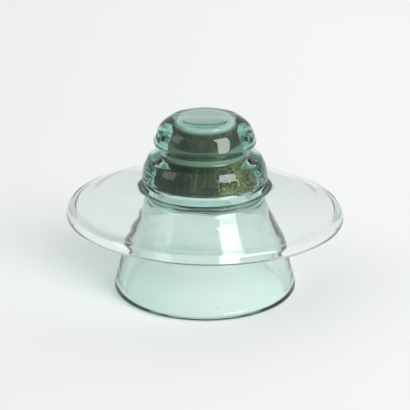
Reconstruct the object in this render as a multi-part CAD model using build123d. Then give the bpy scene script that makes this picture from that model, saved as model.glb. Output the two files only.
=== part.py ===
from build123d import *
import math
import os

# Glass pin insulator: one pressed shell of glass, a cement lining and a threaded thimble.
# Millimetres, +Z up, the axis of the turned shape is Z, the rim of the inner bell stands on Z = 0.

# --- outer form of the shell -------------------------------------------------
disc_r = 90.2            # reach of the umbrella disc
disc_edge_z = 50.4       # underside of the disc's turned-down lip
disc_lip_t = 3.6         # thickness of that lip
disc_t = 5.0             # thickness of the disc between lip and root
disc_mid_r = 74.0        # place where the disc starts to turn down
disc_mid_z = 63.2
disc_root_r = 46.0       # where the disc leaves the shoulder
disc_root_z = 72.0
bell_rim_r = 60.8        # outside of the inner bell at its rim
bell_rim_t = 8.2         # wall of the bell at its rim
rim_round = 3.6          # rounding of the rim, leaves a narrow flat land
bell_mid_r = 52.4
bell_mid_z = 33.0
bell_high_r = 42.0
bell_high_z = 52.0
bell_top_r = 34.0        # where the bell meets the underside of the disc
bell_top_z = 68.4
cavity_mid_r = 44.0
cavity_mid_z = 32.0
cavity_high_r = 34.0
cavity_high_z = 54.0
shoulder_lip_r = 40.8    # drip lip of the shoulder
shoulder_lip_z = 76.6
shoulder_r = 39.8
shoulder_z = 81.0
shoulder_top_r = 38.0
shoulder_top_z = 88.6
groove_r = 28.1          # neck of the wire groove
groove_low_z = 91.5
groove_high_z = 95.8
crown_r = 34.2
crown_low_z = 99.0
crown_edge_r = 28.0
crown_edge_z = 113.2
crown_top_r = 14.0
crown_top_z = 118.8
# --- bore of the shell, filled by the lining ---------------------------------
mouth_z = 70.0           # top of the bell cavity, where the bore starts
bore_r = 21.7
bore_step_z = 80.0
bore_end_r = 17.4
bore_neck_z = 90.0
bore_end_z = 101.5
lining_top_z = 98.5      # the lining stops here and leaves an air pocket above
# --- threaded thimble --------------------------------------------------------
thimble_r = 16.0
thread_r = 13.5          # radius at the bottom of the thread
thread_depth = 1.1
thimble_low_z = mouth_z - 1.5
thimble_end_z = 94.5
thimble_cap = 2.5


def eased(corners):
    """Closed outline from (radius, height, rounding); each rounding is kept within its sides."""
    pts = [(c[0], c[1]) for c in corners]
    radii = []
    for i in range(len(pts)):
        (ax, ay), (bx, by), (cx, cy) = pts[i - 1], pts[i], pts[(i + 1) % len(pts)]
        ux, uy, vx, vy = ax - bx, ay - by, cx - bx, cy - by
        lu, lv = math.hypot(ux, uy), math.hypot(vx, vy)
        cosang = max(-1.0, min(1.0, (ux * vx + uy * vy) / (lu * lv)))
        half = math.acos(cosang) / 2
        most = 0.48 * min(lu, lv) * math.tan(half)
        radii.append(0.0 if corners[i][2] == 0 else min(corners[i][2], most))
    return pts, radii


def turned(corners):
    """Solid of revolution about Z from a closed outline of (radius, height, rounding)."""
    pts, radii = eased(corners)
    with BuildPart() as p:
        with BuildSketch(Plane.XZ):
            with BuildLine():
                FilletPolyline(*pts, radius=radii, close=True)
            make_face()
        revolve(axis=Axis.Z)
    return p.part


def bore_form(top):
    return turned([
        (0, mouth_z - 1.0, 0), (bore_r, mouth_z - 1.0, 0), (bore_r, bore_step_z, 9),
        (bore_end_r, bore_neck_z, 9), (bore_end_r, bore_end_z, 2), (0, bore_end_z, 0)
    ]) - Pos(0, 0, top + 50.0) * Box(200, 200, 100.0)


def shell_body():
    return turned([
        (0, crown_top_z, 0), (crown_top_r, crown_top_z, 26), (crown_edge_r, crown_edge_z, 12),
        (crown_r, crown_low_z, 3.6), (groove_r, groove_high_z, 3.0), (groove_r, groove_low_z, 3.0),
        (shoulder_top_r, shoulder_top_z, 8.0), (shoulder_r, shoulder_z, 8.0),
        (shoulder_lip_r, shoulder_lip_z, 1.2), (shoulder_lip_r - 1.2, shoulder_lip_z - 1.0, 0.8),
        (shoulder_lip_r - 0.4, disc_root_z + 2.0, 2.0), (disc_root_r, disc_root_z, 4.0),
        (disc_mid_r, disc_mid_z, 60.0), (disc_r - 1.2, disc_edge_z + 6.6, 5.0),
        (disc_r + 0.4, disc_edge_z, 2.4), (disc_r + 0.4 - disc_lip_t, disc_edge_z - 0.4, 2.2),
        (disc_r - 6.6, disc_edge_z + 4.2, 8.0), (disc_mid_r - 4.0, disc_mid_z - disc_t + 1.2, 40.0),
        (bell_top_r, bell_top_z, 4.0), (bell_high_r, bell_high_z, 18.0),
        (bell_mid_r, bell_mid_z, 40.0), (bell_rim_r, 0, rim_round * 0.75), (0, 0, 0)])


def bell_cavity():
    inner = bell_rim_r - bell_rim_t
    flare = Pos(0, 0, -5.0) * Cylinder(inner + rim_round, 5.0, align=(Align.CENTER, Align.CENTER, Align.MIN))
    hollow = turned([
        (0, 0, 0), (inner + rim_round, 0, 0), (inner + rim_round * 0.29, rim_round * 0.29, 0),
        (inner, rim_round, 0), (cavity_mid_r, cavity_mid_z, 30.0), (cavity_high_r, cavity_high_z, 30.0),
        (bore_r + 1.3, mouth_z, 6.0), (0, mouth_z, 0)])
    return hollow + flare


def glass_shell():
    shell = shell_body() - bell_cavity() - bore_form(bore_end_z)
    return shell


def thimble_form(radius, top):
    return turned([
        (0, thimble_low_z, 0), (radius, thimble_low_z, 0), (radius, top, 1.5), (0, top, 0)])


def cement_lining():
    slab = Pos(0, 0, mouth_z + 60.0) * Box(300, 300, 120.0)
    return (bore_form(lining_top_z) & slab) - thimble_form(thimble_r, thimble_end_z)


def threaded_thimble():
    body = thimble_form(thimble_r, thimble_end_z)
    bore_top = thimble_end_z - thimble_cap
    bore = Pos(0, 0, (thimble_low_z - 1 + bore_top) / 2) * Cylinder(
        thread_r - thread_depth, bore_top - thimble_low_z + 1)
    flare = Pos(0, 0, thimble_low_z) * Cone(thread_r + 0.4, thread_r - thread_depth, 3.0)
    return body - bore - flare


def checked(solid, name):
    body = solid.solids()[0] if len(solid.solids()) == 1 else solid
    assert len(solid.solids()) == 1, name
    body.label = name
    return body


os.makedirs("parts", exist_ok=True)
made = {
    "glass_shell": checked(glass_shell(), "glass_shell"),
    "cement_lining": checked(cement_lining(), "cement_lining"),
    "threaded_thimble": checked(threaded_thimble(), "threaded_thimble"),
}
for name, body in made.items():
    export_step(body, "parts/" + name + ".step")
    box = body.bounding_box()
    print(name, round(body.volume / 1000, 1), "cm3", box.min, box.max)
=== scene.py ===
import math
import bpy
import numpy as np
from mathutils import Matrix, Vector


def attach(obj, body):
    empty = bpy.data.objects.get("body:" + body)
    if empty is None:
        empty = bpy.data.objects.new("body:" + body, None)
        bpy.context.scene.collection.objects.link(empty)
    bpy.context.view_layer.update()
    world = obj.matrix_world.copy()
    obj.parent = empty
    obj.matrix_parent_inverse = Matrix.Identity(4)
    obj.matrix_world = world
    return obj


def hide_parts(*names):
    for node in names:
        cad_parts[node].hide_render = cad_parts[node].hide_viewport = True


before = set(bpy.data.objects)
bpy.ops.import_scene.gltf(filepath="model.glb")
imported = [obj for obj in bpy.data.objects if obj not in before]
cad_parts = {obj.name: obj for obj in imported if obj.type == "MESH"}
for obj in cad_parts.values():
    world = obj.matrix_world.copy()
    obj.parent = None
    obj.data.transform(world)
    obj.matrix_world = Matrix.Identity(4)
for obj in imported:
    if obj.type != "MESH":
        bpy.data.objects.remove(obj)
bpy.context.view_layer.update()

MM = 0.001
BORE_R = 21.7
THIMBLE_R = 16.0
THREAD_R, THREAD_DEPTH, PITCH = 13.5, 1.1, 5.0
THIMBLE_CAP = 2.5
LEAN = math.tan(math.radians(1.1))
FILM = 0.05   # the lining's reach into the glass, so that no air shows between them
SLACK = 0.02  # room between lining and thimble
MOUTH_Z = 70.0  # where the bore starts
END_Z = 110.4   # where it ends
TOP_Z = 109.4   # top of the lining
LOW_Z = 68.5    # foot of the thimble
CAP_Z = 94.5    # top of the thimble

# Corner lists: radius, height, rounding, in millimetres, in the same frame as the part.
OUTER = [(0, 118.4, 0), (10.0, 118.2, 40), (22.7, 116.6, 14), (29.6, 110.4, 14), (34.0, 99.2, 3.4),
         (28.1, 95.8, 2.6), (28.1, 91.5, 3.0), (36.6, 89.9, 2.8), (39.4, 84.6, 6.0), (40.4, 80.4, 4.0),
         (40.8, 77.2, 1.2), (39.6, 75.8, 0.8), (40.4, 74.0, 2.0), (46.0, 72.0, 4.0), (74.0, 63.2, 60.0),
         (89.0, 57.0, 5.0), (90.5, 50.4, 2.4), (87.0, 50.0, 2.2), (83.6, 54.6, 8.0), (70.0, 59.4, 40.0),
         (34.0, 68.4, 4.0), (42.0, 52.0, 18.0), (52.4, 33.0, 40.0), (60.8, 0.0, 2.7)]
INNER = [(52.6, 0.0, 3.6), (45.2, 32.0, 30.0), (35.4, 54.0, 30.0), (23.0, MOUTH_Z, 6.0),
         (BORE_R, MOUTH_Z, 0), (BORE_R, 80.0, 9), (15.6, 90.0, 9), (14.6, 99.0, 12),
         (17.4, 106.0, 8), (17.2, END_Z, 2.5), (0, END_Z, 0)]


def rounded(corners, step=3.0):
    """Outline through the corners, each corner replaced by an arc of its rounding, kept within its sides."""
    pts = np.array([c[:2] for c in corners], float)
    out = [pts[0]]
    for i in range(1, len(pts) - 1):
        a, b, c, r = pts[i - 1], pts[i], pts[i + 1], corners[i][2]
        u, v = (a - b) / np.linalg.norm(a - b), (c - b) / np.linalg.norm(c - b)
        ang = math.acos(float(np.clip(u @ v, -1, 1)))
        if r <= 0 or math.pi - ang < 1e-3:
            out.append(b)
            continue
        t = min(r / math.tan(ang / 2), 0.48 * min(np.linalg.norm(a - b), np.linalg.norm(c - b)))
        r = t * math.tan(ang / 2)
        s, e = b + u * t, b + v * t
        cen = b + (u + v) / np.linalg.norm(u + v) * (r / math.sin(ang / 2))
        a0, a1 = math.atan2(*(s - cen)[::-1]), math.atan2(*(e - cen)[::-1])
        d = (a1 - a0 + math.pi) % (2 * math.pi) - math.pi
        th = a0 + d * np.linspace(0, 1, max(4, int(math.degrees(abs(d)) / step) + 2))
        out.extend(cen + r * np.stack([np.cos(th), np.sin(th)], 1))
    out.append(pts[-1])
    return np.array(out)


def dense(line, gap):
    """The outline with points added so that none of its steps is longer than the gap."""
    parts = [np.linspace(a, b, max(1, int(np.ceil(np.linalg.norm(b - a) / gap))), endpoint=False)
             for a, b in zip(line[:-1], line[1:])]
    return np.concatenate(parts + [line[-1:]])


def add_mesh(name, verts, faces):
    """Mesh object from whole arrays, its normals turned outward, standing at the origin."""
    import bmesh
    me = bpy.data.meshes.new(name)
    me.from_pydata(verts.tolist(), [], faces.tolist())
    bm = bmesh.new()
    bm.from_mesh(me)
    bmesh.ops.remove_doubles(bm, verts=bm.verts, dist=2e-6)
    bmesh.ops.recalc_face_normals(bm, faces=bm.faces)
    bm.to_mesh(me)
    bm.free()
    me.polygons.foreach_set("use_smooth", [True] * len(me.polygons))
    me.update()
    obj = bpy.data.objects.new(name, me)
    bpy.context.scene.collection.objects.link(obj)
    return obj


def grid_faces(rows, cols):
    """Quads of a grid of points whose columns run round and join up."""
    a = np.arange(rows - 1)[:, None]
    j = np.arange(cols)[None, :]
    k = (j + 1) % cols
    b = a + 1
    return np.stack([a * cols + j, a * cols + k, b * cols + k, b * cols + j], -1).reshape(-1, 4)


def revolved(name, line, n, ripple=None):
    """Surface of an outline (r, z) turned about Z: x = r cos t, y = r sin t, with an optional ripple of r and z."""
    t = np.linspace(0, 2 * np.pi, n, endpoint=False)[None, :]
    r = np.repeat(line[:, :1], n, 1)
    z = np.repeat(line[:, 1:2], n, 1)
    if ripple is not None:
        dr, dz = ripple(r, z, t)
        r, z = r + dr, z + dz
    verts = np.stack([r * np.cos(t), r * np.sin(t), z], -1).reshape(-1, 3) * MM
    return add_mesh(name, verts, grid_faces(len(line), n))


def ease(v, low, high):
    """Smooth step from 0 at low to 1 at high."""
    k = np.clip((v - low) / (high - low), 0, 1)
    return k * k * (3 - 2 * k)


def leaned(r, t):
    """Height change of the leaning disc: -tan(lean) r cos t, growing from the shoulder outwards."""
    return -LEAN * r * np.cos(t) * ease(r, 46.0, 80.0)


def pressed(r, z, t):
    """Slow ripples of pressed glass: sums of low waves round the axis, fading out at the bore and at the rim
    that it stands on. The disc's lean is added above the bell."""
    k = ease(r, 24.0, 30.0) * ease(z, 1.0, 12.0)
    a = 0.09 * np.sin(3 * t + 0.05 * z) + 0.06 * np.sin(5 * t + 1.7 + 0.11 * z) + 0.03 * np.sin(11 * t + 0.23 * z)
    b = (0.09 * np.sin(2 * t + 0.6 + 0.09 * r) + 0.05 * np.sin(7 * t + 2.1 + 0.16 * r)
         + 0.03 * np.sin(13 * t + 0.4 * r))
    return k * a * np.where(z > 75, 0.7, 0.4), k * b * 0.5 + leaned(r, t) * ease(z, 46.0, 50.0)


def material(name):
    m = bpy.data.materials.new(name)
    m.use_nodes = True
    return m, m.node_tree.nodes, m.node_tree.links


def group(name, ins, outs):
    """Empty node group with named sockets; its nodes and links."""
    g = bpy.data.node_groups.new(name, "ShaderNodeTree")
    for n, kind, val in ins:
        k = g.interface.new_socket(n, in_out="INPUT", socket_type=kind)
        k.default_value = val
    for n, kind in outs:
        g.interface.new_socket(n, in_out="OUTPUT", socket_type=kind)
    return g, g.nodes.new("NodeGroupInput"), g.nodes.new("NodeGroupOutput")


def mapped(n, l, value, span):
    """The value carried from one range to another: from low, from high, to low, to high."""
    k = n.new("ShaderNodeMapRange")
    for name, v in zip(("From Min", "From Max", "To Min", "To Max"), span):
        k.inputs[name].default_value = v
    l.new(value, k.inputs["Value"])
    return k.outputs[0]


def reckoned(n, l, operation, *terms):
    """A Math node on terms that are each a socket or a plain number."""
    k = n.new("ShaderNodeMath")
    k.operation = operation
    for socket, term in zip(k.inputs, terms):
        if isinstance(term, (int, float)):
            socket.default_value = term
        else:
            l.new(term, socket)
    return k.outputs[0]


def blended(n, l, amount, first, second):
    """Mix of two colours by an amount; each colour is a socket or a plain tuple."""
    k = n.new("ShaderNodeMix")
    k.data_type = "RGBA"
    l.new(amount, k.inputs[0])
    for socket, term in zip([c for c in k.inputs if c.type == "RGBA"], (first, second)):
        if isinstance(term, tuple):
            socket.default_value = (*term, 1)
        else:
            l.new(term, socket)
    return [c for c in k.outputs if c.type == "RGBA"][0]


def noise(n, l, place, detail, scale=None):
    k = n.new("ShaderNodeTexNoise")
    k.inputs["Detail"].default_value = detail
    if scale is not None:
        k.inputs["Scale"].default_value = scale
    l.new(place, k.inputs["Vector"])
    return k


def tint_group():
    """Tint of lamp light through the glass: pale for the thin disc, deeper inside a given distance from the axis."""
    g, i, o = group("lamp_tint", [("Thin", "NodeSocketColor", (0.975, 0.985, 0.985, 1)),
                                  ("Thick", "NodeSocketColor", (0.72, 0.75, 0.745, 1)),
                                  ("Radius", "NodeSocketFloat", 0.062)], [("Color", "NodeSocketColor")])
    n, l = g.nodes, g.links
    tc = n.new("ShaderNodeTexCoord")
    flat = n.new("ShaderNodeVectorMath")
    flat.operation = "MULTIPLY"
    flat.inputs[1].default_value = (1, 1, 0)
    l.new(tc.outputs["Object"], flat.inputs[0])
    far = n.new("ShaderNodeVectorMath")
    far.operation = "LENGTH"
    l.new(flat.outputs[0], far.inputs[0])
    near = reckoned(n, l, "LESS_THAN", far.outputs["Value"], i.outputs["Radius"])
    l.new(blended(n, l, near, i.outputs["Thin"], i.outputs["Thick"]), o.inputs["Color"])
    return g


def glass_material():
    """Clear glass whose colour comes from its depth; lamps shine through it with a tint of their own."""
    m, n, l = material("aqua_glass")
    b = n["Principled BSDF"]
    b.inputs["Base Color"].default_value = (1, 1, 1, 1)
    b.inputs["Transmission Weight"].default_value = 1
    b.inputs["Roughness"].default_value = 0.0
    b.inputs["IOR"].default_value = 1.52
    va = n.new("ShaderNodeVolumeAbsorption")
    va.inputs["Color"].default_value = (0.30, 0.706, 0.594, 1)
    va.inputs["Density"].default_value = 25
    l.new(va.outputs[0], n["Material Output"].inputs["Volume"])
    lp = n.new("ShaderNodeLightPath")
    tr = n.new("ShaderNodeBsdfTransparent")
    lt = n.new("ShaderNodeGroup")
    lt.node_tree = tint_group()
    l.new(lt.outputs[0], tr.inputs[0])
    mx = n.new("ShaderNodeMixShader")
    l.new(lp.outputs["Is Shadow Ray"], mx.inputs[0])
    l.new(b.outputs[0], mx.inputs[1])
    l.new(tr.outputs[0], mx.inputs[2])
    l.new(mx.outputs[0], n["Material Output"].inputs["Surface"])
    return m


def plain(name, color, rough, metal=0.0, spec=0.5):
    m, n, l = material(name)
    b = n["Principled BSDF"]
    b.inputs["Base Color"].default_value = (*color, 1)
    b.inputs["Roughness"].default_value = rough
    b.inputs["Metallic"].default_value = metal
    b.inputs["Specular IOR Level"].default_value = spec
    return m


def band_mix(n, l, height, color, stops, tone):
    """The colour, mixed with a tone by an amount that the stops give over the height in metres."""
    low, high = 0.06, 0.12
    ramp = n.new("ShaderNodeValToRGB")
    e = ramp.color_ramp.elements
    e[0].position, e[0].color = 0.0, (stops[0][1],) * 3 + (1,)
    e[1].position, e[1].color = 1.0, (stops[-1][1],) * 3 + (1,)
    for z, v in stops:
        k = e.new((z - low) / (high - low))
        k.color = (v, v, v, 1)
    l.new(mapped(n, l, height, (low, high, 0, 1)), ramp.inputs[0])
    return blended(n, l, ramp.outputs[0], color, tone)


def weathered_and_painted_light_group():
    """Old cement seen through glass: upright streaks of dark teal, olive and ochre, with painted light on the right:
    lighter, more ochre colour and bright grains there, for the key lamp. The streaks are noise read at a place whose
    height is squeezed, the grains a finer noise cut high; the neck of the groove and the top get pale bands of painted
    light."""
    g, i, o = group("weathered_and_painted_light", [("Streak Scale", "NodeSocketFloat", 420.0),
                                  ("Grain Scale", "NodeSocketFloat", 900.0),
                                  ("Grains", "NodeSocketFloat", 1.0)],
                    [("Color", "NodeSocketColor"), ("Height", "NodeSocketFloat")])
    n, l = g.nodes, g.links
    tc = n.new("ShaderNodeTexCoord")
    place = tc.outputs["Object"]
    split = n.new("ShaderNodeSeparateXYZ")
    l.new(place, split.inputs[0])
    squeezed = n.new("ShaderNodeMapping")
    squeezed.inputs["Scale"].default_value = (1.0, 1.0, 0.16)
    l.new(place, squeezed.inputs["Vector"])
    streaks = noise(n, l, squeezed.outputs[0], 6)
    streaks.inputs["Roughness"].default_value = 0.62
    l.new(i.outputs["Streak Scale"], streaks.inputs["Scale"])
    patches = noise(n, l, place, 3, 75.0)
    share = reckoned(n, l, "MULTIPLY", patches.outputs[0], 0.65)
    both = reckoned(n, l, "MULTIPLY_ADD", streaks.outputs[0], 0.35, share)
    # painted light: the colour turns lighter and more ochre towards +X, the side that the key lamp lights
    painted_right_light = mapped(n, l, split.outputs[0], (-0.016, 0.018, -0.035, 0.025))
    ramp = n.new("ShaderNodeValToRGB")
    cr = ramp.color_ramp
    stops = [(0.42, (0.004, 0.022, 0.019)), (0.47, (0.010, 0.034, 0.026)), (0.51, (0.030, 0.040, 0.014)),
             (0.57, (0.090, 0.084, 0.028)), (0.66, (0.26, 0.22, 0.09))]
    cr.elements[0].position, cr.elements[0].color = stops[0][0], (*stops[0][1], 1)
    cr.elements[1].position, cr.elements[1].color = stops[-1][0], (*stops[-1][1], 1)
    for position, tone in stops[1:-1]:
        cr.elements.new(position).color = (*tone, 1)
    l.new(reckoned(n, l, "ADD", both, painted_right_light), ramp.inputs[0])
    grains = noise(n, l, place, 2)
    l.new(i.outputs["Grain Scale"], grains.inputs["Scale"])
    cut = mapped(n, l, grains.outputs[0], (0.57, 0.63, 0, 1))
    # painted light: the bright grains are kept to the right, the side that the key lamp lights
    right = mapped(n, l, split.outputs[0], (0.002, 0.014, 0.06, 1.0))
    low = mapped(n, l, split.outputs[2], (0.084, 0.092, 1.0, 0.15))
    where = reckoned(n, l, "MULTIPLY", right, low)
    amount = reckoned(n, l, "MULTIPLY", reckoned(n, l, "MULTIPLY", where, cut), i.outputs["Grains"])
    grains_and_painted_right_light = blended(n, l, amount, ramp.outputs[0], (0.62, 0.54, 0.28))
    # painted light: a pale band on the cement at the neck of the groove, standing in for light the glass brings in
    # there
    painted_groove_light = band_mix(n, l, split.outputs[2], grains_and_painted_right_light,
                      [(0.0850, 0), (0.0890, 0.9), (0.0946, 0.9), (0.0966, 0.10), (0.1040, 0.04)], (0.27, 0.35, 0.26))
    # painted light: the top of the lining made pale, as if lit from above through the crown
    painted_top_light = band_mix(n, l, split.outputs[2], painted_groove_light,
                      [(0.1064, 0), (0.1076, 0.3), (0.1087, 1)], (0.36, 0.50, 0.44))
    l.new(painted_top_light, o.inputs["Color"])
    l.new(streaks.outputs[0], o.inputs["Height"])
    return g


def cement_material():
    m, n, l = material("cement")
    b = n["Principled BSDF"]
    w = n.new("ShaderNodeGroup")
    w.node_tree = weathered_and_painted_light_group()
    l.new(w.outputs["Color"], b.inputs["Base Color"])
    b.inputs["Roughness"].default_value = 0.85
    bump = n.new("ShaderNodeBump")
    bump.inputs["Strength"].default_value = 0.6
    bump.inputs["Distance"].default_value = 0.0006
    l.new(w.outputs["Height"], bump.inputs["Height"])
    l.new(bump.outputs[0], b.inputs["Normal"])
    return m


# --- glass shell ---
line = dense(rounded(OUTER + INNER), 1.2)
glass = revolved("glass_shell_look", line, 384, ripple=pressed)


def balls(name, centres, radii, inward=False):
    """Small spheres in one mesh: centre + radius * (sin a cos b, sin a sin b, cos a), all built as one array."""
    a = np.linspace(0, np.pi, 9)[:, None]
    b = np.linspace(0, 2 * np.pi, 14, endpoint=False)[None, :]
    unit = np.stack([np.sin(a) * np.cos(b), np.sin(a) * np.sin(b), np.cos(a) + 0 * b], -1).reshape(-1, 3)
    verts = centres[:, None, :] + radii[:, None, None] * unit[None]
    faces = grid_faces(9, 14)[None] + (np.arange(len(centres)) * len(unit))[:, None, None]
    obj = add_mesh(name, verts.reshape(-1, 3) * MM, faces.reshape(-1, 4))
    if inward:
        obj.data.flip_normals()
    return obj


def wall_points(n, seed):
    """Places inside the glass: along the middle of the disc and of the bell wall, spread round the axis."""
    rng = np.random.default_rng(seed)
    u, t = rng.random(n), rng.random(n) * 2 * np.pi
    disc = np.stack([50 + 34 * u, 68.6 - 9.6 * u], 1)
    bell = np.stack([39 + 16 * u, 54 - 46 * u], 1)
    rz = np.where((rng.random(n) < 0.6)[:, None], disc, bell)
    lean = leaned(rz[:, 0], t) * (rz[:, 1] > 48)
    return np.stack([rz[:, 0] * np.cos(t), rz[:, 0] * np.sin(t), rz[:, 1] + lean], 1), rng.random(n)


def join_into(obj, other):
    """Adds the other object's mesh to this one and removes the other."""
    import bmesh
    bm = bmesh.new()
    bm.from_mesh(obj.data)
    bm.from_mesh(other.data)
    bm.to_mesh(obj.data)
    bm.free()
    bpy.data.objects.remove(other)


spots, size = wall_points(46, 11)
join_into(glass, balls("seeds", spots, 0.10 + 0.28 * size ** 3, inward=True))
stones = balls("stones", np.array([[44.0, -54.0, 62.4], [17.0, -76.0, 58.6], [21.0, -74.0, 59.0], [-27.0, -74.0, 60.2],
                                   [-28.0, -58.0, 64.2], [-14.0, -52.0, 66.0], [8.0, -57.0, 8.0]]),
               np.array([0.50, 0.28, 0.24, 0.30, 0.24, 0.22, 0.30]))
stones.data.materials.append(plain("stone", (0.03, 0.03, 0.025), 0.6))
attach(stones, "root")
glass.data.materials.append(glass_material())
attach(glass, "root")
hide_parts("glass_shell")

# --- cement lining: follows the bore's wall, wetted to the glass ---
bore = rounded(INNER)
bore = bore[np.argmax((np.abs(bore[:, 0] - BORE_R) < 1e-6) & (np.abs(bore[:, 1] - MOUTH_Z) < 1e-6)):]
wet = bore[bore[:, 1] < TOP_Z] + np.array([FILM, 0.0])
wet[0] = (BORE_R + FILM, MOUTH_Z + 0.3)
hole_r = THIMBLE_R + SLACK
lining = np.concatenate([[[hole_r, MOUTH_Z + 0.3]], wet, [[17.0, TOP_Z], [0.0, TOP_Z]]])
back = np.array([[0.0, CAP_Z + SLACK], [hole_r, CAP_Z + SLACK], [hole_r, MOUTH_Z + 0.3]])
cement = revolved("cement_lining_look", dense(np.concatenate([lining, back]), 1.0), 256)
cement.data.materials.append(cement_material())
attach(cement, "root")
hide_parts("cement_lining")

# --- threaded thimble ---

def threaded_cup(name, n=192):
    """Cup closed at its top; its bore's wall is r = R - d tri(z / p - t / 2 pi), a helix of pitch p."""
    t = np.linspace(0, 2 * np.pi, n, endpoint=False)[None, :]
    roof = CAP_Z - THIMBLE_CAP
    z = np.linspace(LOW_Z, roof, 289)[:, None]
    tri = np.abs(((z / PITCH - t / (2 * np.pi)) % 1.0) * 2 - 1)
    tri = np.clip(tri * 1.5 - 0.25, 0, 1)
    fade = np.clip((z - LOW_Z) / 3.0, 0, 1) * np.clip((roof - z) / 2.0, 0, 1)
    wall = THREAD_R - THREAD_DEPTH * tri * fade
    out = np.array([[0.0, CAP_Z], [14.6, CAP_Z], [THIMBLE_R, CAP_Z - 1.5], [THIMBLE_R, LOW_Z + 0.4],
                    [15.6, LOW_Z], [14.6, LOW_Z]])
    r = np.concatenate([np.repeat(out[:, :1], n, 1), wall, np.zeros((1, n))])
    z = np.concatenate([np.repeat(out[:, 1:], n, 1), np.repeat(z, n, 1), np.full((1, n), roof)])
    verts = np.stack([r * np.cos(t), r * np.sin(t), z], -1).reshape(-1, 3) * MM
    return add_mesh(name, verts, grid_faces(len(r), n))


thimble = threaded_cup("threaded_thimble_look")
thimble.data.materials.append(plain("thimble_metal", (0.22, 0.21, 0.19), 0.55, 0.8))
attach(thimble, "root")
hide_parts("threaded_thimble")

# --- stage ---

def stage_plane(name, size, z):
    h = size / 2
    me = bpy.data.meshes.new(name)
    me.from_pydata([(-h, -h, z), (h, -h, z), (h, h, z), (-h, h, z)], [], [(0, 1, 2, 3)])
    obj = bpy.data.objects.new(name, me)
    bpy.context.scene.collection.objects.link(obj)
    return obj


def floor_material():
    """Matt table, its colour darker towards the front and the left by its own coordinates: painted shade of light
    falling off.
    """
    m = plain("floor", (0.83, 0.83, 0.832), 1.0, 0.0, 0.0)
    n, l = m.node_tree.nodes, m.node_tree.links
    tc = n.new("ShaderNodeTexCoord")
    dot = n.new("ShaderNodeVectorMath")
    dot.operation = "DOT_PRODUCT"
    dot.inputs[1].default_value = (0.10, 0.115, 0.0)
    l.new(tc.outputs["Object"], dot.inputs[0])
    # painted shade: the floor's colour darkens towards the front and the left
    tone = mapped(n, l, dot.outputs["Value"], (-0.06, 0.10, 0.77, 0.93))
    pair = n.new("ShaderNodeCombineColor")
    for k in pair.inputs:
        l.new(tone, k)
    l.new(pair.outputs[0], n["Principled BSDF"].inputs["Base Color"])
    return m


floor = stage_plane("floor", 8.0, -0.0002)
floor.data.materials.append(floor_material())


def area(name, loc, size, power, target=(0, 0, 0.07)):
    l = bpy.data.lights.new(name, "AREA")
    l.shape, l.size, l.size_y, l.energy = "RECTANGLE", size[0], size[1], power
    o = bpy.data.objects.new(name, l)
    bpy.context.scene.collection.objects.link(o)
    o.location = loc
    o.rotation_euler = (Vector(target) - Vector(loc)).to_track_quat("-Z", "Y").to_euler()
    return o


sc = bpy.context.scene
area("key", (2.25, -2.15, 2.25), (2.0, 2.0), 105)
area("fill", (-3.1, -0.7, 2.1), (1.7, 1.8), 14)
w = bpy.data.worlds.new("studio")
sc.world = w
w.use_nodes = True
w.node_tree.nodes["Background"].inputs[0].default_value = (0.90, 0.91, 0.915, 1)
w.node_tree.nodes["Background"].inputs[1].default_value = 0.72

cam = bpy.data.cameras.new("camera")
co = bpy.data.objects.new("camera", cam)
sc.collection.objects.link(co)
sc.camera = co
e, dist, zt = math.radians(20.2357), 0.94634, 0.056235
co.location = (0, -dist * math.cos(e), zt + dist * math.sin(e))
co.rotation_euler = (math.pi / 2 - e, 0, 0)
cam.sensor_width = 36
cam.lens = 127.24
sc.view_settings.view_transform = "Standard"
